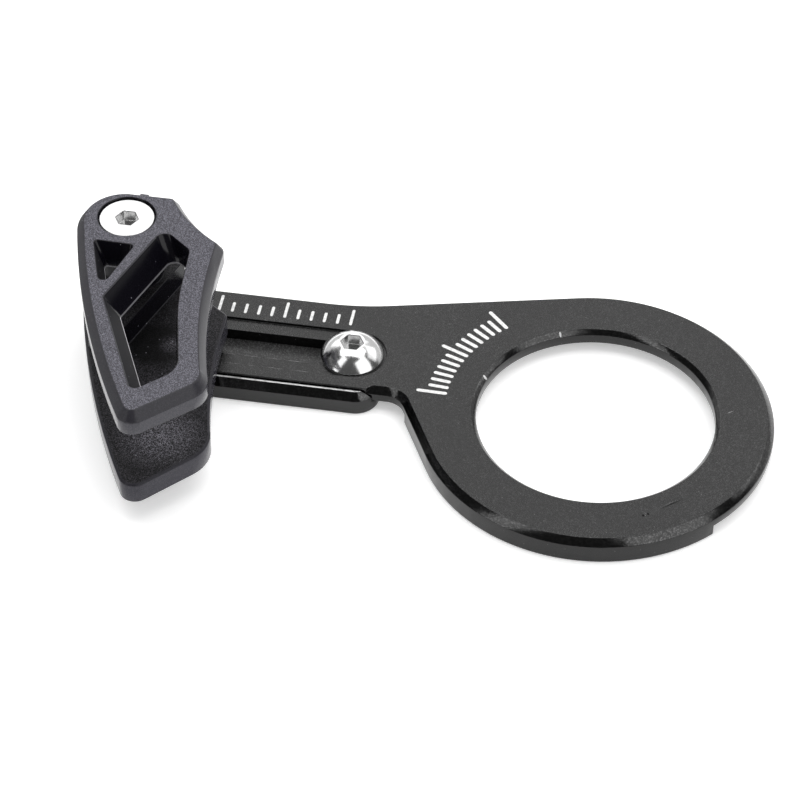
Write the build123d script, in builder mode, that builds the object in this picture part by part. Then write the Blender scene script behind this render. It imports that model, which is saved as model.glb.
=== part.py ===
from build123d import *
from build123d.topology import SkipClean
from math import atan2, cos, degrees, radians, sin, tan
import os

# Bicycle chain guide that is held behind a bottom bracket cup. A bracket slides along the slot of
# the plate's arm to suit the chainring, and carries two moulded guides that the chain runs between.
# Frame: origin on the bore axis at the seat face, +Z to the chainring side, the arm towards -X.

# Ring of the back plate
BORE_D = 35.1            # clears the thread of the bottom bracket cup
RING_D = 52.3
PLATE_T = 2.25
EDGE_CHAMFER = 1.0       # along the top outer edge
BORE_CHAMFER = 0.7
EDGE_BREAK = 0.2         # small chamfer on other machined edges
RIM_DEPTH = 1.8          # rim below the seat face, round the front of the ring
RIM_WIDTH = 4.5
RIM_PAST_NECK = 0.56     # rim's start past the end of the neck's blend
RIM_END_ANGLE = 317.4

# Arm of the back plate
SLOT_Y = 6.65            # slot line from the bore axis
FRONT_RAIL = 2.2         # metal in front of the bolt seat
BACK_RAIL = 6.35         # metal behind the bolt seat
END_WALL = 2.8           # metal past the slot's far end
ARM_END_RADIUS = 3.0
BACK_SLOPE = 13.1        # back edge between arm and ring, in degrees
BACK_BLEND = 41.0
NECK_SLOPE = 63.0        # front edge between arm and ring, in degrees
NECK_BLEND = 3.1

# Clamp bolt, M5 button head
CLAMP_D = 5.0
CLAMP_HEAD_D = 9.5
CLAMP_HEAD_H = 2.75
CLAMP_HEAD_RIM = 0.45    # straight part of the head below its dome
CLAMP_HEAD_FLAT_D = 4.0
CLAMP_X = -37.4          # at the slot's inner end, for the smallest chainring
TRAVEL = 20.2            # from the smallest chainring to the largest
SEAT_DEPTH = 0.4         # step in the slot that the head sits on
HEAD_CLEAR = 0.2         # head to the step's wall, each side
SLOT_CLEAR = 0.1         # bolt to the slot's wall, each side
END_CLEAR = 0.2          # bolt to the slot's end at both limits
HEX_KEY = 3.0            # across flats, both bolts
HEX_DEPTH = 1.8
HEX_LEAD = 0.1           # chamfer at the socket's mouth

# Slider bracket
SLIDE_GAP = 0.03         # plate to bracket, and bolt head to its seat
LIP_GAP = 0.2            # front edge of the arm to the bracket's lip
LIP_T = 1.4
LIP_DROP = 0.4           # lip below the plate's top face
LIP_CHAMFER = 1.1
BRACKET_AHEAD = 5.0      # bracket past the clamp bolt, towards the ring
BRACKET_BACK = 3.5       # bracket's back edge inside the arm's back edge
BRACKET_CORNER = 3.6
BLOCK_GAP = 1.2          # arm's end to the block under the guides
BLOCK_RADIUS = 6.2       # round the cage bolt
BLOCK_LENGTH = 4.1       # straight part of the block past the arm's end

# Guides, placed from the cage bolt
CAGE_BOLT_DX = -34.4     # cage bolt from the clamp bolt
CAGE_BOLT_Y = 11.1
GUIDE_CLEAR = 0.3        # inner guide above the plate
INNER_T = 3.5
CHAIN_GAP = 10.6         # between the two guides
OUTER_T = 3.9
GUIDE_END_RADIUS = 6.85  # round end by the cage bolt
GUIDE_END_DX = -0.45     # centre of the round end from the cage bolt
GUIDE_END_DY = -0.7
GUIDE_FLAT = 6.4         # straight part of the top edge
GUIDE_WIDTH = 15.3       # cage bolt to the inner edge
SHOULDER_Y = -3.0        # where the inner edge starts
SHOULDER_DIP = 0.8       # hollow of the edge between the flat and the shoulder
GUIDE_STRAIGHT = 4.0     # straight part of the inner edge
TOE_SLOPE = 16.5         # inner edge above the heel, in degrees
TOE_PAST = 0.35          # end of the inner edge's curve above the heel's blend
OUTER_HEEL = (19.35, -32.8)  # corner below the inner edge
OUTER_TIP = (9.1, -42.4)     # point of the guide
INNER_HEEL = (18.85, -31.1)  # the inner guide is a little shorter
INNER_TIP = (8.55, -41.9)
LEAVE_ANGLE = 193.5      # where the outer edge leaves the round end
FLAT_RADIUS = 1.4
SHOULDER_RADIUS = 1.4
OUTER_HEEL_RADIUS = 4.2
INNER_HEEL_RADIUS = 6.0
TIP_RADIUS = 2.3
BEVEL_IN = 1.1           # round the top of the outer guide
BEVEL_DOWN = 1.65
INNER_EDGE = 0.3         # round the top of the inner guide

# Openings of the outer guide: corners at the top face, then each side's slope inwards
WINDOW = [(5.9, -1.9), (10.7, -5.85), (11.35, -17.0), (14.5, -30.9), (8.8, -36.2), (0.5, -17.7)]
WINDOW_INSETS = [0.4, 0.4, 0.4, 0.4, 2.3, 2.5]
WINDOW_RADII = [1.4, 1.4, 40.0, 4.0, 1.0, 0.8]
VENT = [(-3.7, -5.8), (2.55, -6.0), (-0.35, -16.2)]
VENT_INSETS = [1.4, 0.4, 1.3]
VENT_RADII = [0.5, 0.5, 0.8]

# Raised block and boss of the inner guide, which carry the outer guide
BLOCK_H = 3.95
BLOCK_FACE = 5.9         # cage bolt to the block's face on the chain side
BLOCK_FACE_ANGLE = 71.0  # direction of that face, in degrees
BLOCK_FOOT = -13.9       # lower end of the block
BLOCK_INSET = 0.5        # block inside the guide's edge
BLOCK_CORNER = 0.7
BOSS_RADIUS = 5.0
KEY_X = -3.4             # key on the boss that stops the outer guide from turning
KEY_W = 1.6
KEY_L = 3.6
KEY_H = 1.2
KEY_CLEAR = 0.1
NUB_X = 1.0              # gate mark on the outer guide's top edge
NUB_W = 1.4
NUB_T = 1.0
NUB_PROUD = 1.0
NUB_DROP = 1.5

# Cage bolt, M4 flat head
CAGE_D = 4.0
CAGE_HEAD_D = 8.1
CAGE_HEAD_RIM = 0.4
CAGE_HEAD_SUNK = 0.3
RECESS_CLEAR = 0.25      # head to the recess wall
HOLE_CLEAR = 0.15        # bolt to its hole in a guide, each side
THREAD_CLEAR = 0.05      # bolt to its threaded hole, each side

# Guide screw, M3 flat head, from below
SCREW_D = 3.0
SCREW_HEAD_D = 5.5
SCREW_HEAD_RIM = 0.2
SCREW_SUNK = 0.1
SCREW_LENGTH = 8.0
SCREW_DX = 0.6           # from the cage bolt
SCREW_DY = -5.9
SCREW_HEX = 2.0
SCREW_HEX_DEPTH = 1.0

# Places that follow from the sizes above
ring_r = RING_D / 2
ring_seat_r = ring_r - RIM_WIDTH
slot_w = CLAMP_D + 2 * SLOT_CLEAR
seat_w = CLAMP_HEAD_D + 2 * HEAD_CLEAR
arm_front = SLOT_Y - seat_w / 2 - FRONT_RAIL
arm_back = SLOT_Y + seat_w / 2 + BACK_RAIL
slot_near = CLAMP_X + END_CLEAR
slot_far = CLAMP_X - TRAVEL - END_CLEAR
arm_end = slot_far - seat_w / 2 - END_WALL
seat_z = PLATE_T - SEAT_DEPTH
lip_inner = arm_front - LIP_GAP
lip_top = PLATE_T - LIP_DROP
bracket_front = lip_inner - LIP_T
bracket_back = arm_back - BRACKET_BACK
bracket_near = CLAMP_X + BRACKET_AHEAD
block_near = arm_end - BLOCK_GAP
cage_x = CLAMP_X + CAGE_BOLT_DX
inner_z = PLATE_T + GUIDE_CLEAR
inner_top = inner_z + INNER_T
block_top = inner_top + BLOCK_H
outer_z = inner_top + CHAIN_GAP
outer_top = outer_z + OUTER_T
cage_head_z = outer_top - CAGE_HEAD_SUNK
cage_length = cage_head_z + RIM_DEPTH - EDGE_BREAK
screw_x = cage_x + SCREW_DX
screw_y = CAGE_BOLT_Y + SCREW_DY
screw_z = SCREW_SUNK - RIM_DEPTH


def on_circle(radius, angle):
    """Point at an angle in degrees on a circle round the origin."""
    return (radius * cos(radians(angle)), radius * sin(radians(angle)))


def at_cage(z):
    """Level plane with its origin on the cage bolt's axis."""
    return Plane((cage_x, CAGE_BOLT_Y, z))


def inset_corners(corners, insets):
    """Corners of a clockwise polygon after each side has moved inwards by its own inset."""
    sides = []
    for index, corner in enumerate(corners):
        start = Vector(*corner)
        end = Vector(*corners[(index + 1) % len(corners)])
        along = (end - start).normalized()
        sides.append((start + Vector(along.Y, -along.X) * insets[index], along))
    moved = []
    for index, (start, along) in enumerate(sides):
        before, before_along = sides[index - 1]
        gap = start - before
        reach = gap.cross(along).Z / before_along.cross(along).Z
        meet = before + before_along * reach
        moved.append((meet.X, meet.Y))
    return moved


def rounded_polygon(plane, corners, radii):
    """Sketch of a polygon with its own radius at each corner."""
    with BuildSketch(plane) as polygon:
        with BuildLine():
            Polyline(*corners, close=True)
        make_face()
        for corner, radius in zip(corners, radii):
            fillet(polygon.vertices().sort_by_distance(Vector(*corner))[0], radius)
    return polygon.sketch


def neck_points():
    """Ends of the neck's front edge: where it leaves the arm's line, and where it touches the ring."""
    touch = on_circle(ring_r, 270 - NECK_SLOPE)
    bend = (touch[0] - (arm_front - touch[1]) / tan(radians(NECK_SLOPE)), arm_front)
    return bend, touch


def rim_start_angle():
    """Angle round the bore where the rim starts, a little past the neck's blend."""
    bend, touch = neck_points()
    reach = NECK_BLEND * tan(radians(NECK_SLOPE / 2)) + RIM_PAST_NECK
    start = Vector(*bend) + Vector(*on_circle(reach, -NECK_SLOPE))
    return degrees(atan2(start.Y, start.X)) % 360


def plate_outline(plane):
    """Sketch of the back plate's outer edge."""
    back_touch = on_circle(ring_r, 90 + BACK_SLOPE)
    back_bend = (back_touch[0] - (back_touch[1] - arm_back) / tan(radians(BACK_SLOPE)), arm_back)
    neck_bend, neck_touch = neck_points()
    end_back = (arm_end, arm_back)
    end_front = (arm_end, arm_front)
    corners = [back_bend, end_back, end_front, neck_bend]
    radii = [BACK_BLEND, ARM_END_RADIUS, ARM_END_RADIUS, NECK_BLEND]
    with BuildSketch(plane) as outline:
        with BuildLine():
            Polyline(back_touch, *corners, neck_touch)
            CenterArc((0, 0), ring_r, 270 - NECK_SLOPE, 180 + BACK_SLOPE + NECK_SLOPE)
        make_face()
        for corner, radius in zip(corners, radii):
            fillet(outline.vertices().sort_by_distance(Vector(*corner))[0], radius)
    return outline.sketch


def guide_outline(plane, heel, heel_radius, tip, inset=0.0):
    """Sketch of a guide's outer edge, on a plane with its origin at the cage bolt."""
    end_middle = Vector(GUIDE_END_DX, GUIDE_END_DY)
    flat_start = end_middle + Vector(0, GUIDE_END_RADIUS)
    flat_end = Vector(GUIDE_FLAT, flat_start.Y)
    shoulder = Vector(GUIDE_WIDTH, SHOULDER_Y)
    straight_end = Vector(GUIDE_WIDTH, SHOULDER_Y - GUIDE_STRAIGHT)
    heel_way = Vector(sin(radians(TOE_SLOPE)), -cos(radians(TOE_SLOPE)))
    heel_turn = heel_way.get_angle(Vector(*tip) - Vector(*heel))
    toe = Vector(*heel) - heel_way * (heel_radius * tan(radians(heel_turn / 2)) + TOE_PAST)
    across = (shoulder - flat_end).normalized()
    hollow = (flat_end + shoulder) * 0.5 + Vector(across.Y, -across.X) * SHOULDER_DIP
    leave = end_middle + Vector(*on_circle(GUIDE_END_RADIUS, LEAVE_ANGLE))
    leave_way = Vector(*on_circle(1, LEAVE_ANGLE + 90))
    corners = [flat_end, shoulder, Vector(*heel), Vector(*tip)]
    radii = [FLAT_RADIUS, SHOULDER_RADIUS, heel_radius, TIP_RADIUS]
    with BuildSketch(plane) as outline:
        with BuildLine():
            CenterArc(end_middle, GUIDE_END_RADIUS, 90, LEAVE_ANGLE - 90)
            Line(flat_start, flat_end)
            ThreePointArc(flat_end, hollow, shoulder)
            Line(shoulder, straight_end)
            TangentArc(straight_end, toe, tangent=(0, -1))
            Polyline(toe, heel, tip)
            TangentArc(leave, tip, tangent=leave_way)
        make_face()
        for corner, radius in zip(corners, radii):
            fillet(outline.vertices().sort_by_distance(corner)[0], radius)
        if inset:
            offset(amount=-inset)
    return outline.sketch


def block_corners():
    """Corners of the region that the inner guide's raised block fills, beyond the guide's edge."""
    face_way = Vector(*on_circle(1, BLOCK_FACE_ANGLE))
    face_point = Vector(face_way.Y, -face_way.X) * BLOCK_FACE
    top = 2 * GUIDE_END_RADIUS
    foot_x = face_point.X + (BLOCK_FOOT - face_point.Y) / tan(radians(BLOCK_FACE_ANGLE))
    top_x = face_point.X + (top - face_point.Y) / tan(radians(BLOCK_FACE_ANGLE))
    return [(foot_x, BLOCK_FOOT), (top_x, top), (-top, top), (-top, BLOCK_FOOT)]


def flat_head(plane, head_d, rim, shank_d, length):
    """Half section of a flat head screw, head's top on the plane's X axis, shank along its -Y."""
    head_r = head_d / 2
    shank_r = shank_d / 2
    with BuildSketch(plane) as section:
        with BuildLine():
            Polyline(
                (0, 0),
                (head_r, 0),
                (head_r, -rim),
                (shank_r, shank_r - head_r - rim),
                (shank_r, EDGE_BREAK - length),
                (shank_r - EDGE_BREAK, -length),
                (0, -length),
                close=True,
            )
        make_face()
    return section.sketch


def flat_head_hole(plane, head_d, rim, head_clear, shank_d, depth):
    """Half section of the hole for a flat head screw, open above the head."""
    head_r = head_d / 2
    shank_r = shank_d / 2
    with BuildSketch(plane) as section:
        with BuildLine():
            Polyline(
                (0, rim),
                (head_r + head_clear, rim),
                (head_r + head_clear, -rim),
                (head_r, -rim),
                (shank_r, shank_r - head_r - rim),
                (shank_r, -depth),
                (0, -depth),
                close=True,
            )
        make_face()
    return section.sketch


clamp_axis = Axis((CLAMP_X, SLOT_Y, 0), (0, 0, 1))
cage_axis = Axis((cage_x, CAGE_BOLT_Y, 0), (0, 0, 1))
screw_axis = Axis((screw_x, screw_y, 0), (0, 0, 1))
cage_section = Plane((cage_x, CAGE_BOLT_Y, cage_head_z), x_dir=(1, 0, 0), z_dir=(0, -1, 0))
screw_section = Plane((screw_x, screw_y, screw_z), x_dir=(1, 0, 0), z_dir=(0, 1, 0))
os.makedirs("parts", exist_ok=True)

# Back plate: ring, arm with a stepped slot, rim below the front of the ring
with BuildPart() as back_plate:
    extrude(plate_outline(Plane.XY), amount=PLATE_T)
    chamfer(back_plate.faces().sort_by(Axis.Z)[-1].edges(), EDGE_CHAMFER)
    # The arm's front edge is square along the bracket's lip, and the chamfer runs out there.
    with BuildSketch(Plane.XY.offset(PLATE_T - EDGE_CHAMFER)):
        square_from = arm_end + ARM_END_RADIUS
        square_to = bracket_near - BRACKET_CORNER / 2
        with BuildLine():
            Polyline(
                (square_from, arm_front),
                (square_to, arm_front),
                (square_to + EDGE_CHAMFER, arm_front + EDGE_CHAMFER),
                (square_from, arm_front + EDGE_CHAMFER),
                close=True,
            )
        make_face()
    extrude(amount=EDGE_CHAMFER)
    with BuildSketch():
        add(plate_outline(Plane.XY))
        rim_start = rim_start_angle()
        step = (RIM_END_ANGLE - rim_start) / 4
        wedge = [on_circle(2 * ring_r, rim_start + step * i) for i in range(5)]
        with BuildLine():
            Polyline((0, 0), *wedge, close=True)
        make_face(mode=Mode.INTERSECT)
        Circle(ring_seat_r, mode=Mode.SUBTRACT)
    extrude(amount=-RIM_DEPTH)
    chamfer(back_plate.faces().sort_by(Axis.Z)[0].edges(), EDGE_BREAK)
    with BuildSketch():
        Circle(ring_seat_r)
    extrude(amount=PLATE_T, mode=Mode.SUBTRACT)
    slot_middle = ((slot_near + slot_far) / 2, SLOT_Y)
    with BuildSketch():
        with Locations(slot_middle):
            SlotCenterToCenter(slot_near - slot_far, slot_w)
    extrude(amount=PLATE_T, mode=Mode.SUBTRACT)
    with BuildSketch(Plane.XY.offset(seat_z)):
        with Locations(slot_middle):
            SlotCenterToCenter(slot_near - slot_far, seat_w)
    extrude(amount=SEAT_DEPTH, mode=Mode.SUBTRACT)
    # The seat round the bore is a face of its own on each side, where the shell and the cup bear.
    with BuildSketch(Plane.XZ):
        with BuildLine():
            Polyline(
                (BORE_D / 2, 0),
                (ring_seat_r, 0),
                (ring_seat_r, PLATE_T),
                (BORE_D / 2 + BORE_CHAMFER, PLATE_T),
                (BORE_D / 2, PLATE_T - BORE_CHAMFER),
                close=True,
            )
        make_face()
    with SkipClean():
        revolve(axis=Axis.Z)
back_plate.part.label = "back_plate"
export_step(back_plate.part, "parts/back_plate.step")

# Slider bracket: base under the arm, lip along its front edge, block past its end
with BuildPart() as slider_bracket:
    with BuildSketch(Plane.XY.offset(-RIM_DEPTH)) as bracket_outline:
        with BuildLine():
            far_x = block_near - BLOCK_LENGTH
            Polyline(
                (far_x, bracket_front),
                (bracket_near, bracket_front),
                (bracket_near, bracket_back),
                (far_x, bracket_back),
                close=True,
            )
            CenterArc((cage_x, CAGE_BOLT_Y), BLOCK_RADIUS, 0, 360)
        make_hull()
        near_corners = bracket_outline.vertices().group_by(Axis.X)[-1]
        fillet(near_corners, BRACKET_CORNER)
    extrude(amount=RIM_DEPTH + lip_top)
    top_edges = slider_bracket.faces().sort_by(Axis.Z)[-1].edges()
    chamfer(top_edges.sort_by(Axis.Y)[0], LIP_CHAMFER)
    chamfer(slider_bracket.faces().sort_by(Axis.Z)[0].edges(), EDGE_BREAK)
    with BuildSketch(Plane.XY.offset(-SLIDE_GAP)):
        with Locations((block_near, lip_inner)):
            Rectangle(-block_near, 2 * arm_back, align=(Align.MIN, Align.MIN))
    extrude(amount=RIM_DEPTH + lip_top, mode=Mode.SUBTRACT)
    with BuildSketch(Plane.XY):
        add(bracket_outline.sketch.moved(Location((0, 0, RIM_DEPTH))))
        with Locations((block_near, arm_back)):
            Rectangle(-block_near, 4 * arm_back, align=(Align.MIN, Align.CENTER), mode=Mode.SUBTRACT)
    extrude(amount=inner_z)
    with BuildSketch(Plane.XY.offset(-RIM_DEPTH)):
        with Locations((CLAMP_X, SLOT_Y)):
            Circle(CLAMP_D / 2 + THREAD_CLEAR)
        with Locations((cage_x, CAGE_BOLT_Y)):
            Circle(CAGE_D / 2 + THREAD_CLEAR)
    extrude(amount=RIM_DEPTH + inner_z, mode=Mode.SUBTRACT)
    screw_hole_d = SCREW_D + 2 * HOLE_CLEAR
    screw_hole_depth = RIM_DEPTH + inner_z
    screw_hole = flat_head_hole(
        screw_section, SCREW_HEAD_D, SCREW_HEAD_RIM, HOLE_CLEAR, screw_hole_d, screw_hole_depth
    )
    revolve(screw_hole, axis=screw_axis, mode=Mode.SUBTRACT)
slider_bracket.part.label = "slider_bracket"
export_step(slider_bracket.part, "parts/slider_bracket.step")

# Clamp bolt through the slot into the bracket
with BuildPart() as clamp_bolt:
    head_z = seat_z + SLIDE_GAP
    head_top = head_z + CLAMP_HEAD_H
    rim_z = head_z + CLAMP_HEAD_RIM
    head_r = CLAMP_HEAD_D / 2
    flat_r = CLAMP_HEAD_FLAT_D / 2
    # The dome is part of a ball with its middle on the bolt's axis.
    ball_z = (head_r**2 - flat_r**2 + rim_z**2 - head_top**2) / (2 * (rim_z - head_top))
    ball_r = (head_r**2 + (rim_z - ball_z) ** 2) ** 0.5
    rim_angle = degrees(atan2(rim_z - ball_z, head_r))
    flat_angle = degrees(atan2(head_top - ball_z, flat_r))
    with BuildSketch(Plane((CLAMP_X, SLOT_Y, 0), x_dir=(1, 0, 0), z_dir=(0, -1, 0))):
        with BuildLine():
            CenterArc((0, ball_z), ball_r, rim_angle, flat_angle - rim_angle)
            Polyline(
                (flat_r, head_top),
                (0, head_top),
                (0, EDGE_BREAK - RIM_DEPTH),
                (CLAMP_D / 2, EDGE_BREAK - RIM_DEPTH),
                (CLAMP_D / 2, head_z),
                (head_r, head_z),
                (head_r, rim_z),
            )
        make_face()
    revolve(axis=clamp_axis)
    with BuildSketch(Plane((CLAMP_X, SLOT_Y, head_top))):
        RegularPolygon(HEX_KEY / 2, 6, major_radius=False)
    extrude(amount=-HEX_DEPTH, mode=Mode.SUBTRACT)
    chamfer(clamp_bolt.faces().sort_by(Axis.Z)[-1].edges().filter_by(GeomType.LINE), HEX_LEAD)
clamp_bolt.part.label = "clamp_bolt"
export_step(clamp_bolt.part, "parts/clamp_bolt.step")

# Inner guide with its raised block, the boss round the cage bolt and a key on the boss
with BuildPart() as inner_guide:
    extrude(guide_outline(at_cage(inner_z), INNER_HEEL, INNER_HEEL_RADIUS, INNER_TIP), amount=INNER_T)
    chamfer(inner_guide.faces().sort_by(Axis.Z)[-1].edges(), INNER_EDGE)
    block_limit = guide_outline(at_cage(inner_top), INNER_HEEL, INNER_HEEL_RADIUS, INNER_TIP, BLOCK_INSET)
    with BuildSketch(at_cage(inner_top)):
        add(at_cage(inner_top).to_local_coords(block_limit))
        with BuildLine():
            Polyline(*block_corners(), close=True)
        make_face(mode=Mode.INTERSECT)
        offset(amount=-BLOCK_CORNER, kind=Kind.INTERSECTION)
        offset(amount=BLOCK_CORNER)
    extrude(amount=BLOCK_H)
    with BuildSketch(at_cage(block_top)):
        Circle(BOSS_RADIUS)
    extrude(amount=outer_z - block_top)
    with BuildSketch(at_cage(outer_z)):
        with Locations((KEY_X, 0)):
            Rectangle(KEY_W, KEY_L)
    extrude(amount=KEY_H)
    with BuildSketch(at_cage(inner_z)):
        Circle(CAGE_D / 2 + HOLE_CLEAR)
    extrude(amount=outer_z - inner_z, mode=Mode.SUBTRACT)
    with BuildSketch(at_cage(inner_z)):
        with Locations((SCREW_DX, SCREW_DY)):
            Circle(SCREW_D / 2 + THREAD_CLEAR)
    extrude(amount=screw_z + SCREW_LENGTH + EDGE_BREAK - inner_z, mode=Mode.SUBTRACT)
inner_guide.part.label = "inner_guide"
export_step(inner_guide.part, "parts/inner_guide.step")

# Guide screw from below the bracket into the inner guide
with BuildPart() as guide_screw:
    revolve(flat_head(screw_section, SCREW_HEAD_D, SCREW_HEAD_RIM, SCREW_D, SCREW_LENGTH), axis=screw_axis)
    with BuildSketch(Plane((screw_x, screw_y, screw_z))):
        RegularPolygon(SCREW_HEX / 2, 6, major_radius=False)
    extrude(amount=SCREW_HEX_DEPTH, mode=Mode.SUBTRACT)
guide_screw.part.label = "guide_screw"
export_step(guide_screw.part, "parts/guide_screw.step")

# Outer guide: bevelled plate with a window, a vent below the bolt and a sunk bolt seat
with BuildPart() as outer_guide:
    extrude(guide_outline(at_cage(outer_z), OUTER_HEEL, OUTER_HEEL_RADIUS, OUTER_TIP), amount=OUTER_T)
    top_face = outer_guide.faces().sort_by(Axis.Z)[-1]
    chamfer(top_face.edges(), BEVEL_IN, BEVEL_DOWN, reference=top_face)
    with BuildSketch(at_cage(outer_top - NUB_DROP - NUB_T)):
        with Locations((NUB_X, GUIDE_END_DY + GUIDE_END_RADIUS + NUB_PROUD)):
            Rectangle(NUB_W, NUB_PROUD + BEVEL_IN, align=(Align.CENTER, Align.MAX))
    extrude(amount=NUB_T)
    for corners, insets, radii in [(WINDOW, WINDOW_INSETS, WINDOW_RADII), (VENT, VENT_INSETS, VENT_RADII)]:
        mouth = rounded_polygon(at_cage(outer_top), corners, radii)
        foot = rounded_polygon(at_cage(outer_z), inset_corners(corners, insets), radii)
        loft([foot.face(), mouth.face()], ruled=True, mode=Mode.SUBTRACT)
    cage_hole = flat_head_hole(
        cage_section, CAGE_HEAD_D, CAGE_HEAD_RIM, RECESS_CLEAR, CAGE_D + 2 * HOLE_CLEAR, OUTER_T
    )
    revolve(cage_hole, axis=cage_axis, mode=Mode.SUBTRACT)
    with BuildSketch(at_cage(outer_z)):
        with Locations((KEY_X, 0)):
            Rectangle(KEY_W + 2 * KEY_CLEAR, KEY_L + 2 * KEY_CLEAR)
    extrude(amount=KEY_H + KEY_CLEAR, mode=Mode.SUBTRACT)
outer_guide.part.label = "outer_guide"
export_step(outer_guide.part, "parts/outer_guide.step")

# Cage bolt through both guides into the bracket's block
with BuildPart() as cage_bolt:
    revolve(flat_head(cage_section, CAGE_HEAD_D, CAGE_HEAD_RIM, CAGE_D, cage_length), axis=cage_axis)
    with BuildSketch(at_cage(cage_head_z)):
        RegularPolygon(HEX_KEY / 2, 6, major_radius=False)
    extrude(amount=-HEX_DEPTH, mode=Mode.SUBTRACT)
    chamfer(cage_bolt.faces().sort_by(Axis.Z)[-1].edges().filter_by(GeomType.LINE), HEX_LEAD)
cage_bolt.part.label = "cage_bolt"
export_step(cage_bolt.part, "parts/cage_bolt.step")
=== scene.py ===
import math

import bmesh
import bpy
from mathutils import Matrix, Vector


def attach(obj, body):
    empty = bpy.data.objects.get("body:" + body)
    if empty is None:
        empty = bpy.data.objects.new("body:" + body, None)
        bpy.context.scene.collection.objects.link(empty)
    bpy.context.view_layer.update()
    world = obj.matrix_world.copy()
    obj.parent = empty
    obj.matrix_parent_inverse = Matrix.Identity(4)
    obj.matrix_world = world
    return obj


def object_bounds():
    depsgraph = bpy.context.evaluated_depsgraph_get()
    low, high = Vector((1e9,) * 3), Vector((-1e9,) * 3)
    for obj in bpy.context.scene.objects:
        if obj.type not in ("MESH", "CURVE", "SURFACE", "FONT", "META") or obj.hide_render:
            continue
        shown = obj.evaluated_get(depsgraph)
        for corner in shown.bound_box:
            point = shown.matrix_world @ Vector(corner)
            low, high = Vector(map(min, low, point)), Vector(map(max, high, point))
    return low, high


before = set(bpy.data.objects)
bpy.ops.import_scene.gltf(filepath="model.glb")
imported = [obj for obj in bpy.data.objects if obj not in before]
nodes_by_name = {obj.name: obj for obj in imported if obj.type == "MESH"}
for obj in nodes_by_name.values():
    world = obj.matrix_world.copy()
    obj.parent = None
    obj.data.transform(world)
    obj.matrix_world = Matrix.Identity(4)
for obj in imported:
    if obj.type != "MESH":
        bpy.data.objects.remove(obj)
cad_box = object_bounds()
MM = 0.001
UP = Vector((0, 0, 1))


def at(x, y):
    """Place on the plate, given in millimetres from the bore's axis."""
    return Vector((x, y, 0)) * MM


# Places that repeat the part's own sizes, in metres
PLATE_TOP = 2.25 * MM
SEAT_Z = 1.85 * MM
LIP_TOP = 1.85 * MM
LIP_INNER = -0.7 * MM
SLOT_Y = 6.65 * MM
SLOT_FRONT_Y = 3.99 * MM
STEP_FRONT_Y = 1.62 * MM
SLIDE_TRAVEL = 20.2 * MM
BORE_R = 17.55 * MM
BORE_CHAMFER = 0.7 * MM
INNER_TOP = 6.05 * MM
OUTER_FOOT = 16.65 * MM
WINDOW_MIDDLE = (-63.8 * MM, -8.9 * MM, 12.0 * MM)
VENT_MIDDLE = (-72.3 * MM, 2.6 * MM, 12.0 * MM)
FLOOR_Z = cad_box[0].z

# Small rounding of the machined and moulded edges, in metres
EDGE_ROUND = {
    "back_plate": 0.10 * MM,
    "slider_bracket": 0.09 * MM,
    "clamp_bolt": 0.06 * MM,
    "cage_bolt": 0.06 * MM,
    "guide_screw": 0.05 * MM,
    "inner_guide": 0.14 * MM,
    "outer_guide": 0.2 * MM,
}
ROUND_SEGMENTS = 3
ROUND_FROM_ANGLE = math.radians(28)
WELD_DISTANCE = 0.002 * MM

# Fineness of the grains, in cells to a metre, and how deep they are
BLAST_FINENESS = 7000
BLAST_DEPTH = 0.025 * MM
MOULD_FINENESS = 8000
MOULD_SPECK_FINENESS = 10000
MOULD_DEPTH = 0.04 * MM
POLISH_FINENESS = 2600
POLISH_DEPTH = 0.03 * MM

# Patches of painted light on the inner guide's grain, a painted shadow under the window and two painted
# highlights:
# place, radius of full effect, radius where it ends, and times the grain's own tone
PAINTED_LIGHT_PATCHES = (
    ((-65.4 * MM, -0.3 * MM, INNER_TOP), 3.4 * MM, 5.2 * MM, 0.25),
    ((-62.9 * MM, 0.2 * MM, INNER_TOP), 0.3 * MM, 2.6 * MM, 3.0),
    ((-60.9 * MM, -18.9 * MM, INNER_TOP), 0.5 * MM, 7.0 * MM, 5.0),
)

# Printed scale along the slot, one tick for each tenth of the slide's travel
SLOT_TICKS = 11
SLOT_TICK_STEP = SLIDE_TRAVEL / 10
SLOT_SCALE_X = -59.0 * MM
SLOT_SCALE_Y = SLOT_Y + 6.3 * MM
SLOT_TICK_SHORT = 1.7 * MM
SLOT_TICK_LONG = 3.0 * MM
SLOT_TICK_WIDTH = 0.45 * MM

# Printed scale on the ring, in metres from the bore's axis and in degrees
RING_TICKS = 15
RING_TICK_STEP = 3.2
RING_SCALE_ANGLE = 134
RING_TICK_FOOT = 22.4 * MM
RING_TICK_SHORT = 24.9 * MM
RING_TICK_LONG = 26.4 * MM
RING_TICK_WIDTH = 0.6 * MM

# How far a thin piece stands proud of the plate and reaches into it
PRINT_RAISE, PRINT_SINK = 0.012 * MM, 0.01 * MM
NICK_RAISE, NICK_SINK = 0.012 * MM, 0.02 * MM
SCRATCH_RAISE, SCRATCH_SINK = 0.005 * MM, 0.01 * MM

# Nicks in the bore's chamfer: angle and half the spread in degrees, half the length down the chamfer
NICKS = ((114.3, 0.55, 0.30 * MM), (163.2, 0.75, 0.34 * MM))
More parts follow.
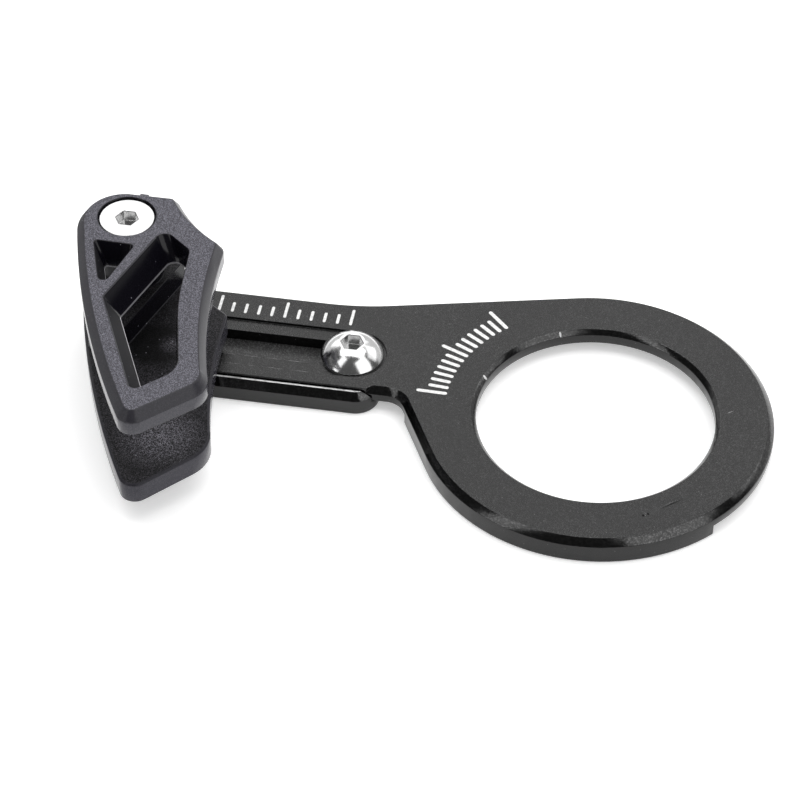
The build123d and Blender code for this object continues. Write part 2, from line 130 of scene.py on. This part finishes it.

# Wear on the ring's top, with a dent shown by painted shade and painted glints: starts and ends of scratches,
# middles and radii of spots
SHORT_SCRAPE = (at(19.0, 3.2), at(19.9, 3.9))
DARK_SCRATCH = (at(11.35, -17.9), at(14.6, -15.2))
PALE_SCRATCH = (at(11.6, -17.35), at(13.7, -15.6))
DENT_SHADE_SPOTS = ((at(9.2, -19.5), 0.2 * MM), (at(9.85, -19.1), 0.18 * MM))
DENT_GLINTS = ((at(9.5, -19.45), 0.07 * MM), (at(9.55, -19.1), 0.07 * MM))
SHORT_SCRAPE_WIDTH = 0.05 * MM
DARK_SCRATCH_WIDTH = 0.17 * MM
PALE_SCRATCH_WIDTH = 0.03 * MM

# Painted highlight runs along the slot's two front edges: starts and ends along the arm, in millimetres
SLOT_EDGE_HIGHLIGHTS = ((-56.5, -54.2), (-53.8, -50.6), (-50.2, -47.9), (-47.3, -43.6))
STEP_EDGE_HIGHLIGHTS = ((-56.0, -52.9), (-52.5, -50.9), (-50.3, -46.8), (-46.2, -42.4))
EDGE_HIGHLIGHT_WIDTH = 0.04 * MM


# Material helpers


def grey(value):
    """Plain grey of a given tone."""
    return (value, value, value)


def material(name):
    """New material with its node tree and the shader's own node."""
    made = bpy.data.materials.new(name)
    made.use_nodes = True
    tree = made.node_tree
    return made, tree, tree.nodes["Principled BSDF"]


def node(tree, kind, **settings):
    """New node with plain settings on it."""
    made = tree.nodes.new(kind)
    for key, value in settings.items():
        setattr(made, key, value)
    return made


def object_coords(tree):
    """Coordinates that stay with the piece when its body moves."""
    return node(tree, "ShaderNodeTexCoord").outputs["Object"]


def surface_direction(tree):
    """The surface's own direction, without bump or smoothing."""
    return node(tree, "ShaderNodeNewGeometry").outputs["True Normal"]


def axes(tree, vector):
    """X, Y and Z of a vector socket."""
    made = node(tree, "ShaderNodeSeparateXYZ")
    tree.links.new(vector, made.inputs["Vector"])
    return made.outputs["X"], made.outputs["Y"], made.outputs["Z"]


def remap(tree, value, low, high, to_low, to_high):
    """Value moved from one range to another, clamped."""
    made = node(tree, "ShaderNodeMapRange")
    made.inputs["From Min"].default_value = low
    made.inputs["From Max"].default_value = high
    made.inputs["To Min"].default_value = to_low
    made.inputs["To Max"].default_value = to_high
    tree.links.new(value, made.inputs["Value"])
    return made.outputs["Result"]


def rise(tree, value, low, high):
    """0 up to a low value and 1 from a high one on."""
    return remap(tree, value, low, high, 0.0, 1.0)


def fall(tree, value, low, high):
    """1 up to a low value and 0 from a high one on."""
    return remap(tree, value, low, high, 1.0, 0.0)


def mix(tree, factor, first, second, kind):
    """Mix of two colours or values, each a socket or plain numbers."""
    socket_type = "RGBA" if kind == "RGBA" else "VALUE"
    made = node(tree, "ShaderNodeMix", data_type=kind)
    tree.links.new(factor, made.inputs["Factor"])
    for name, value in (("A", first), ("B", second)):
        socket = [s for s in made.inputs if s.name == name and s.type == socket_type][0]
        if isinstance(value, bpy.types.NodeSocket):
            tree.links.new(value, socket)
        else:
            socket.default_value = (*value, 1.0) if kind == "RGBA" else value
    return [s for s in made.outputs if s.type == socket_type][0]


def mix_colour(tree, factor, first, second):
    """Mix of two colours."""
    return mix(tree, factor, first, second, "RGBA")


def mix_value(tree, factor, first, second):
    """Mix of two values."""
    return mix(tree, factor, first, second, "FLOAT")


def maths(tree, operation, first, second=0.0):
    """One sum on a socket and a socket or plain number."""
    made = node(tree, "ShaderNodeMath", operation=operation)
    tree.links.new(first, made.inputs[0])
    if isinstance(second, (int, float)):
        made.inputs[1].default_value = second
    else:
        tree.links.new(second, made.inputs[1])
    return made.outputs[0]


def times(tree, first, second):
    """Product of two values."""
    return maths(tree, "MULTIPLY", first, second)


def noise(tree, coords, fineness, detail, rough=0.5):
    """Noise value at object coordinates."""
    made = node(tree, "ShaderNodeTexNoise")
    made.inputs["Scale"].default_value = fineness
    made.inputs["Detail"].default_value = detail
    made.inputs["Roughness"].default_value = rough
    tree.links.new(coords, made.inputs["Vector"])
    return made.outputs["Fac"]


def cells(tree, coords, fineness):
    """Scattered cells: the distance from a cell's middle, and a random colour for each."""
    made = node(tree, "ShaderNodeTexVoronoi")
    made.inputs["Scale"].default_value = fineness
    tree.links.new(coords, made.inputs["Vector"])
    return made.outputs["Distance"], made.outputs["Color"]


def specks(tree, coords, fineness, size, share):
    """1 on a few small dots, one to a cell in a share of the cells."""
    distance, random = cells(tree, coords, fineness)
    chosen = rise(tree, axes(tree, random)[0], 1 - share, 1 - share + 0.01)
    return times(tree, fall(tree, distance, size * 0.6, size), chosen)


def sparkle(tree, coords, fineness, low):
    """Fine grain of small cells, each with a tone of its own, a few of them bright."""
    random = cells(tree, coords, fineness)[1]
    tone = rise(tree, axes(tree, random)[1], low, 1.0)
    return times(tree, tone, tone)


def bump(tree, shader, height, strength, distance):
    """Bump from a height value into the shader's normal."""
    made = node(tree, "ShaderNodeBump")
    made.inputs["Strength"].default_value = strength
    made.inputs["Distance"].default_value = distance
    tree.links.new(height, made.inputs["Height"])
    tree.links.new(made.outputs["Normal"], shader.inputs["Normal"])


def shifted(tree, coords, place):
    """Coordinates counted from a given place."""
    made = node(tree, "ShaderNodeVectorMath", operation="SUBTRACT")
    tree.links.new(coords, made.inputs[0])
    made.inputs[1].default_value = place
    return made.outputs["Vector"]


def near(tree, coords, place, full, none):
    """1 close to a place, falling to 0 farther out."""
    length = node(tree, "ShaderNodeVectorMath", operation="LENGTH")
    tree.links.new(shifted(tree, coords, place), length.inputs[0])
    return fall(tree, length.outputs["Value"], full, none)


def faces_inwards(tree, coords, middle):
    """1 on walls that face a given middle, such as those of an opening round it."""
    outward = node(tree, "ShaderNodeVectorMath", operation="DOT_PRODUCT")
    tree.links.new(shifted(tree, coords, middle), outward.inputs[0])
    tree.links.new(surface_direction(tree), outward.inputs[1])
    return fall(tree, outward.outputs["Value"], -0.4 * MM, 0.0)


# Materials


def anodised(name, light, specular, rough, grain_strength, recolour=None):
    """Black anodised aluminium: blasted flats with a few pale specks, and chamfers that mirror more."""
    made, tree, shader = material(name)
    coords = object_coords(tree)
    up = axes(tree, surface_direction(tree))[2]
    level = rise(tree, up, 0.85, 0.97)
    grain = noise(tree, coords, BLAST_FINENESS, detail=1.0, rough=0.6)
    speck = sparkle(tree, coords, BLAST_FINENESS, low=0.3)
    cloud = remap(tree, noise(tree, coords, 70, detail=3.0), 0.3, 0.7, 0.6, 1.0)
    tone = times(tree, times(tree, speck, cloud), mix_value(tree, level, 0.35, 1.0))
    colour = mix_colour(tree, tone, grey(0.0004), light)
    colour = mix_colour(tree, specks(tree, coords, 2000, size=0.16, share=0.12), colour, grey(0.13))
    # The chamfers are cut after blasting.
    cut = times(tree, rise(tree, up, 0.35, 0.55), fall(tree, level, 0.0, 1.0))
    colour = mix_colour(tree, cut, colour, mix_colour(tree, speck, grey(0.048), grey(0.13)))
    if recolour:
        colour = recolour(tree, coords, up, level, tone, colour)
    tree.links.new(colour, shader.inputs["Base Color"])
    tree.links.new(cut, shader.inputs["Metallic"])
    blasted = remap(tree, grain, 0.3, 0.7, *rough)
    tree.links.new(times(tree, blasted, mix_value(tree, level, 0.5, 1.0)), shader.inputs["Roughness"])
    shader.inputs["Specular IOR Level"].default_value = specular
    bump(tree, shader, times(tree, grain, mix_value(tree, level, 0.3, 1.0)), grain_strength, BLAST_DEPTH)
    return made


def bracket_colour(tree, coords, up, level, tone, colour):
    """The bracket's colour: a flat under the slot painted lighter than the sides as a painted sheen, plain
    sides and a painted highlight along the lip's top edge.
    """
    # Painted sheen: the up-facing flat is coloured lighter in place of the light it reflects.
    painted_sheen_flat = mix_colour(tree, tone, grey(0.033), (0.110, 0.110, 0.111))
    colour = mix_colour(tree, level, colour, painted_sheen_flat)
    side = fall(tree, maths(tree, "ABSOLUTE", up), 0.3, 0.5)
    colour = mix_colour(tree, side, colour, grey(0.036))
    # The lip's narrow top edge is painted pale in patches: a painted highlight along the edge.
    y, z = axes(tree, coords)[1:]
    on_top = rise(tree, z, LIP_TOP - 0.10 * MM, LIP_TOP - 0.04 * MM)
    in_lip = fall(tree, y, LIP_INNER - 0.02 * MM, LIP_INNER + 0.05 * MM)
    patchy = remap(tree, noise(tree, coords, 900, detail=3.0), 0.32, 0.5, 0.35, 1.0)
    painted_light = times(tree, times(tree, on_top, in_lip), patchy)
    return mix_colour(tree, painted_light, colour, grey(0.62))


def moulded(name, grain_dark, grain_light, specular, foot, foot_highlight, painted_light=()):
    """Dark plastic: spark-eroded grain where it faces up, satin walls and smooth bevels, with painted shade
    on the openings' walls, a painted highlight line at their feet, painted glints and patches of painted
    light.
    """
    made, tree, shader = material(name)
    coords = object_coords(tree)
    x, y, z = axes(tree, surface_direction(tree))
    up = rise(tree, z, 0.93, 0.99)
    side = fall(tree, maths(tree, "ABSOLUTE", z), 0.12, 0.35)
    backward = rise(tree, y, 0.05, 0.25)
    left_bevel = times(tree, fall(tree, x, -0.6, -0.3), rise(tree, z, 0.12, 0.28))
    in_window = faces_inwards(tree, coords, WINDOW_MIDDLE)
    in_vent = faces_inwards(tree, coords, VENT_MIDDLE)
    inside = times(tree, maths(tree, "MAXIMUM", in_window, in_vent), fall(tree, z, 0.75, 0.9))

    speck = sparkle(tree, coords, MOULD_SPECK_FINENESS, low=0.1)
    light = grain_light
    # Each patch darkens the grain's pale tone as a painted shadow or lightens it as a painted highlight.
    for place, full, none, share in painted_light:
        patch = near(tree, coords, place, full, none)
        light = mix_colour(tree, patch, light, tuple(share * c for c in grain_light))
    grained = mix_colour(tree, speck, grain_dark, light)
    walls = mix_colour(tree, speck, (0.040, 0.039, 0.048), (0.066, 0.064, 0.076))
    bevels = mix_colour(tree, speck, (0.021, 0.020, 0.025), (0.036, 0.035, 0.042))
    colour = mix_colour(tree, side, bevels, walls)
    colour = mix_colour(tree, up, colour, grained)
    # Walls inside the window and the vent are painted near black: painted shade in the openings.
    colour = mix_colour(tree, inside, colour, (0.004, 0.0037, 0.006))
    # Painted glints: a few small bright dots on the plastic.
    painted_glints = specks(tree, coords, 1500, size=0.16, share=0.05)
    colour = mix_colour(tree, painted_glints, colour, (0.24, 0.24, 0.27))
    # A pale painted highlight line runs along the openings' lower edges, strongest on walls that face
    # backward.
    low = fall(tree, axes(tree, coords)[2], foot + 0.08 * MM, foot + 0.14 * MM)
    low = times(tree, low, mix_value(tree, backward, 0.22, 1.0))
    colour = mix_colour(tree, times(tree, inside, low), colour, foot_highlight)
    tree.links.new(colour, shader.inputs["Base Color"])

    glossy, satin, grainy, dull = 0.16, 0.30, 0.46, 0.7
    outer_rough = mix_value(tree, left_bevel, mix_value(tree, side, satin, glossy), dull)
    inner_rough = mix_value(tree, backward, glossy, dull)
    rough = mix_value(tree, up, mix_value(tree, inside, outer_rough, inner_rough), grainy)
    tree.links.new(rough, shader.inputs["Roughness"])
    shader.inputs["Specular IOR Level"].default_value = specular
    grain = noise(tree, coords, MOULD_FINENESS, detail=1.0, rough=0.6)
    bump(tree, shader, times(tree, grain, mix_value(tree, up, 0.10, 1.0)), 1.0, MOULD_DEPTH)
    return made


def polished(name):
    """Bright steel with slight unevenness."""
    made, tree, shader = material(name)
    coords = object_coords(tree)
    fine = noise(tree, coords, POLISH_FINENESS, detail=2.0)
    broad = noise(tree, coords, POLISH_FINENESS / 10, detail=2.0)
    tree.links.new(mix_colour(tree, broad, grey(0.67), grey(0.75)), shader.inputs["Base Color"])
    tree.links.new(remap(tree, fine, 0.3, 0.7, 0.14, 0.19), shader.inputs["Roughness"])
    shader.inputs["Metallic"].default_value = 1.0
    bump(tree, shader, fine, 0.05, POLISH_DEPTH)
    return made


def printed(name):
    """White screen print, a little uneven."""
    made, tree, shader = material(name)
    worn = rise(tree, noise(tree, object_coords(tree), 1800, detail=3.0), 0.35, 0.6)
    tree.links.new(mix_colour(tree, worn, grey(0.66), (0.88, 0.88, 0.87)), shader.inputs["Base Color"])
    shader.inputs["Roughness"].default_value = 0.55
    return made


def scuffed(name, dark, light, specular=0.5):
    """Streaky mark, used for bare aluminium where the black is scraped off, for pale painted highlights and
    for the painted shade of a dent.
    """
    made, tree, shader = material(name)
    streak = rise(tree, noise(tree, object_coords(tree), 2500, detail=3.0), 0.3, 0.7)
    tree.links.new(mix_colour(tree, streak, grey(dark), grey(light)), shader.inputs["Base Color"])
    shader.inputs["Roughness"].default_value = 0.4
    shader.inputs["Specular IOR Level"].default_value = specular
    return made


plate_black = anodised(
    "plate_black",
    light=(0.042, 0.042, 0.0425),
    specular=0.40,
    rough=(0.20, 0.34),
    grain_strength=0.9,
)
bracket_black = anodised(
    "bracket_black",
    light=(0.036, 0.036, 0.0364),
    specular=0.22,
    rough=(0.16, 0.28),
    grain_strength=0.6,
    recolour=bracket_colour,
)
outer_plastic = moulded(
    "outer_plastic",
    grain_dark=(0.032, 0.031, 0.040),
    grain_light=(0.190, 0.186, 0.224),
    specular=0.30,
    foot=OUTER_FOOT + EDGE_ROUND["outer_guide"],
    foot_highlight=(0.60, 0.59, 0.62),
)
inner_plastic = moulded(
    "inner_plastic",
    grain_dark=(0.0005, 0.0005, 0.0007),
    grain_light=(0.060, 0.058, 0.066),
    specular=0.14,
    foot=INNER_TOP,
    foot_highlight=(0.08, 0.08, 0.09),
    painted_light=PAINTED_LIGHT_PATCHES,
)
bolt_steel = polished("bolt_steel")
print_white = printed("print_white")
scraped = scuffed("scraped", dark=0.35, light=0.85)
# Pale painted highlights, also used for the pale scratch.
pale_highlight_and_scratch = scuffed("pale_highlight_and_scratch", dark=0.05, light=0.46)
# Painted shade of the dent, also used for the dark scratch.
dented = scuffed("dented", dark=0.001, light=0.012, specular=0.04)


# The solids: finishes and edge rounding

finishes = {
    "back_plate": plate_black,
    "slider_bracket": bracket_black,
    "clamp_bolt": bolt_steel,
    "cage_bolt": bolt_steel,
    "guide_screw": bolt_steel,
    "inner_guide": inner_plastic,
    "outer_guide": outer_plastic,
}
for name, finish in finishes.items():
    nodes_by_name[name].material_slots[0].material = finish

for name, width in EDGE_ROUND.items():
    piece = nodes_by_name[name]
    weld = piece.modifiers.new("weld", "WELD")
    weld.merge_threshold = WELD_DISTANCE
    rounding = piece.modifiers.new("edge_round", "BEVEL")
    rounding.width = width
    rounding.segments = ROUND_SEGMENTS
    rounding.limit_method = "ANGLE"
    rounding.angle_limit = ROUND_FROM_ANGLE
    rounding.use_clamp_overlap = False
    rounding.loop_slide = False
    rounding.harden_normals = True


# Helpers for the thin pieces that lie on the plate


def add_object(name, data):
    """New object in the scene."""
    made = bpy.data.objects.new(name, data)
    bpy.context.scene.collection.objects.link(made)
    return made


def plate_piece(name, mesh, finish):
    """Object from a finished mesh, riding on the plate."""
    bmesh.ops.recalc_face_normals(mesh, faces=mesh.faces)
    data = bpy.data.meshes.new(name)
    mesh.to_mesh(data)
    mesh.free()
    data.materials.append(finish)
    piece = add_object(name, data)
    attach(piece, "plate")


def add_slab(mesh, rim, raise_by, sink_by):
    """Thin closed slab with a given rim of places and directions, a little proud of what it lies on."""
    lower = [mesh.verts.new(p - n * sink_by) for p, n in rim]
    upper = [mesh.verts.new(p + n * raise_by) for p, n in rim]
    mesh.faces.new(upper)
    mesh.faces.new(lower[::-1])
    for i in range(len(rim)):
        j = (i + 1) % len(rim)
        mesh.faces.new((lower[i], lower[j], upper[j], upper[i]))


def level_rim(places, z):
    """Rim of a slab on a level face."""
    return [(Vector((p.x, p.y, z)), UP) for p in places]


def round_steps():
    """Angles of the corners of a small round slab."""
    return [math.radians(45 * step) for step in range(8)]


def add_tick(mesh, start, end, width):
    """One printed tick with rounded ends."""
    along = (end - start).normalized()
    side = Vector((-along.y, along.x, 0))
    places = []
    for middle, turn in ((end, -90), (start, 90)):
        for step in range(7):
            angle = math.radians(turn + step * 30)
            places.append(middle + (along * math.cos(angle) + side * math.sin(angle)) * width / 2)
    add_slab(mesh, level_rim(places, PLATE_TOP), PRINT_RAISE, PRINT_SINK)


def add_nick(mesh, angle, half_spread, half_length):
    """One oval nick in the middle of the bore's chamfer."""
    rim = []
    for turn in round_steps():
        around = math.radians(angle + half_spread * math.cos(turn))
        depth = BORE_CHAMFER / 2 + half_length * math.sin(turn)
        out = Vector((math.cos(around), math.sin(around), 0))
        place = out * (BORE_R + BORE_CHAMFER - depth) + UP * (PLATE_TOP - depth)
        rim.append((place, (UP - out).normalized()))
    add_slab(mesh, rim, NICK_RAISE, NICK_SINK)


def add_scratch(mesh, start, end, width, z=PLATE_TOP):
    """One thin scratch, widest in its middle, on a level face."""
    side = Vector((start.y - end.y, end.x - start.x, 0)).normalized() * width / 2
    middle = (start + end) / 2
    add_slab(mesh, level_rim((start, middle + side, end, middle - side), z), SCRATCH_RAISE, SCRATCH_SINK)


def add_dot(mesh, middle, radius):
    """One small dot on the plate's top."""
    places = [middle + Vector((math.cos(turn), math.sin(turn), 0)) * radius for turn in round_steps()]
    add_slab(mesh, level_rim(places, PLATE_TOP), SCRATCH_RAISE, SCRATCH_SINK)


# Printed scale along the slot
slot_scale = bmesh.new()
for index in range(SLOT_TICKS):
    foot = Vector((SLOT_SCALE_X + SLOT_TICK_STEP * index, SLOT_SCALE_Y, 0))
    reach = SLOT_TICK_LONG if index % 5 == 0 else SLOT_TICK_SHORT
    add_tick(slot_scale, foot, foot + Vector((0, reach, 0)), SLOT_TICK_WIDTH)
plate_piece("slot_scale", slot_scale, print_white)

# Printed scale on the ring
ring_scale = bmesh.new()
for index in range(RING_TICKS):
    angle = math.radians(RING_SCALE_ANGLE + RING_TICK_STEP * index)
    out = Vector((math.cos(angle), math.sin(angle), 0))
    reach = RING_TICK_LONG if index % 7 == 0 else RING_TICK_SHORT
    add_tick(ring_scale, out * RING_TICK_FOOT, out * reach, RING_TICK_WIDTH)
plate_piece("ring_scale", ring_scale, print_white)

# Bright nicks in the bore's chamfer and a short scrape on the ring's top
scrapes = bmesh.new()
for nick in NICKS:
    add_nick(scrapes, *nick)
add_scratch(scrapes, *SHORT_SCRAPE, SHORT_SCRAPE_WIDTH)
plate_piece("scrapes", scrapes, scraped)

# A dark scratch on the ring's top, and a dent shown by dark spots of painted shade
dents = bmesh.new()
add_scratch(dents, *DARK_SCRATCH, DARK_SCRATCH_WIDTH)
for spot in DENT_SHADE_SPOTS:
    add_dot(dents, *spot)
plate_piece("dents", dents, dented)

# Painted highlights run here and there along the slot's two front edges; the scratch has a pale edge and the
# dent has painted glints.
painted_highlights_and_scratch = bmesh.new()
for y, z, runs in ((SLOT_FRONT_Y, SEAT_Z, SLOT_EDGE_HIGHLIGHTS), (STEP_FRONT_Y, PLATE_TOP, STEP_EDGE_HIGHLIGHTS)):
    for run_start, run_end in runs:
        add_scratch(painted_highlights_and_scratch, Vector((run_start * MM, y, 0)), Vector((run_end * MM, y, 0)), EDGE_HIGHLIGHT_WIDTH, z)
add_scratch(painted_highlights_and_scratch, *PALE_SCRATCH, PALE_SCRATCH_WIDTH)
for glint in DENT_GLINTS:
    add_dot(painted_highlights_and_scratch, *glint)
plate_piece("painted_highlights_and_scratch", painted_highlights_and_scratch, pale_highlight_and_scratch)


# Floor
FLOOR_REACH = 6
floor_mesh = bpy.data.meshes.new("floor")
floor_corners = [(x * FLOOR_REACH, y * FLOOR_REACH, FLOOR_Z) for x, y in ((-1, -1), (1, -1), (1, 1), (-1, 1))]
floor_mesh.from_pydata(floor_corners, [], [(0, 1, 2, 3)])
floor = add_object("floor", floor_mesh)
floor_white, floor_tree, floor_shader = material("floor_white")
floor_shader.inputs["Base Color"].default_value = (*grey(0.93), 1.0)
floor_shader.inputs["Roughness"].default_value = 0.9
floor_shader.inputs["Specular IOR Level"].default_value = 0.1
# Lit a little from below, as on a light table, so that the shadows stay pale
floor_shader.inputs["Emission Color"].default_value = (*grey(1.0), 1.0)
floor_shader.inputs["Emission Strength"].default_value = 0.38
floor_mesh.materials.append(floor_white)

# The room is white behind the object and dark on the camera's side.
DARK_SIDE, WHITE_SIDE = 0.09, 0.72
world = bpy.data.worlds.new("studio")
bpy.context.scene.world = world
world.use_nodes = True
world_tree = world.node_tree
sky = node(world_tree, "ShaderNodeTexCoord").outputs["Generated"]
room = remap(world_tree, axes(world_tree, sky)[1], 0.22, 0.42, DARK_SIDE, WHITE_SIDE)
world_tree.nodes["Background"].inputs["Color"].default_value = (*grey(1.0), 1.0)
world_tree.links.new(room, world_tree.nodes["Background"].inputs["Strength"])


# Lights and camera

LIGHT_TARGET = (-0.028, 0.0, 0.004)
CAMERA_PLACE = (0.02821, -0.33911, 0.33252)
CAMERA_TARGET = (-0.02871, -0.00201, 0.00225)
CAMERA_LENS = 145.51
CAMERA_SENSOR = 36.0


def aim(piece, place, target):
    """Put a light or camera at a place, facing a target."""
    piece.location = place
    piece.rotation_mode = "QUATERNION"
    piece.rotation_quaternion = (Vector(target) - Vector(place)).to_track_quat("-Z", "Y")


def softbox(name, place, width, height, radiance):
    """Area light that faces the object, given by how bright its surface is."""
    data = bpy.data.lights.new(name, "AREA")
    data.shape = "RECTANGLE"
    data.size = width
    data.size_y = height
    data.energy = radiance * math.pi * width * height
    aim(add_object(name, data), place, LIGHT_TARGET)


softbox("overhead", (-0.03, 0.10, 0.95), 1.3, 0.6, radiance=2.5)
softbox("back", (-0.14, 0.80, 0.76), 1.3, 0.75, radiance=0.86)
softbox("back_right", (0.84, 0.50, 0.62), 0.8, 0.6, radiance=1.1)
softbox("back_left", (-0.78, 0.74, 0.62), 0.5, 0.6, radiance=0.9)
softbox("front_right", (0.68, -0.46, 0.54), 0.78, 1.05, radiance=1.5)
softbox("front_left", (-0.60, -0.55, 0.58), 0.32, 1.10, radiance=1.5)

camera_data = bpy.data.cameras.new("camera")
camera_data.lens = CAMERA_LENS
camera_data.sensor_width = CAMERA_SENSOR
camera_data.clip_start = 0.01
camera_data.clip_end = 50.0
camera = add_object("camera", camera_data)
aim(camera, CAMERA_PLACE, CAMERA_TARGET)
bpy.context.scene.camera = camera

bpy.context.scene.view_settings.view_transform = "Standard"
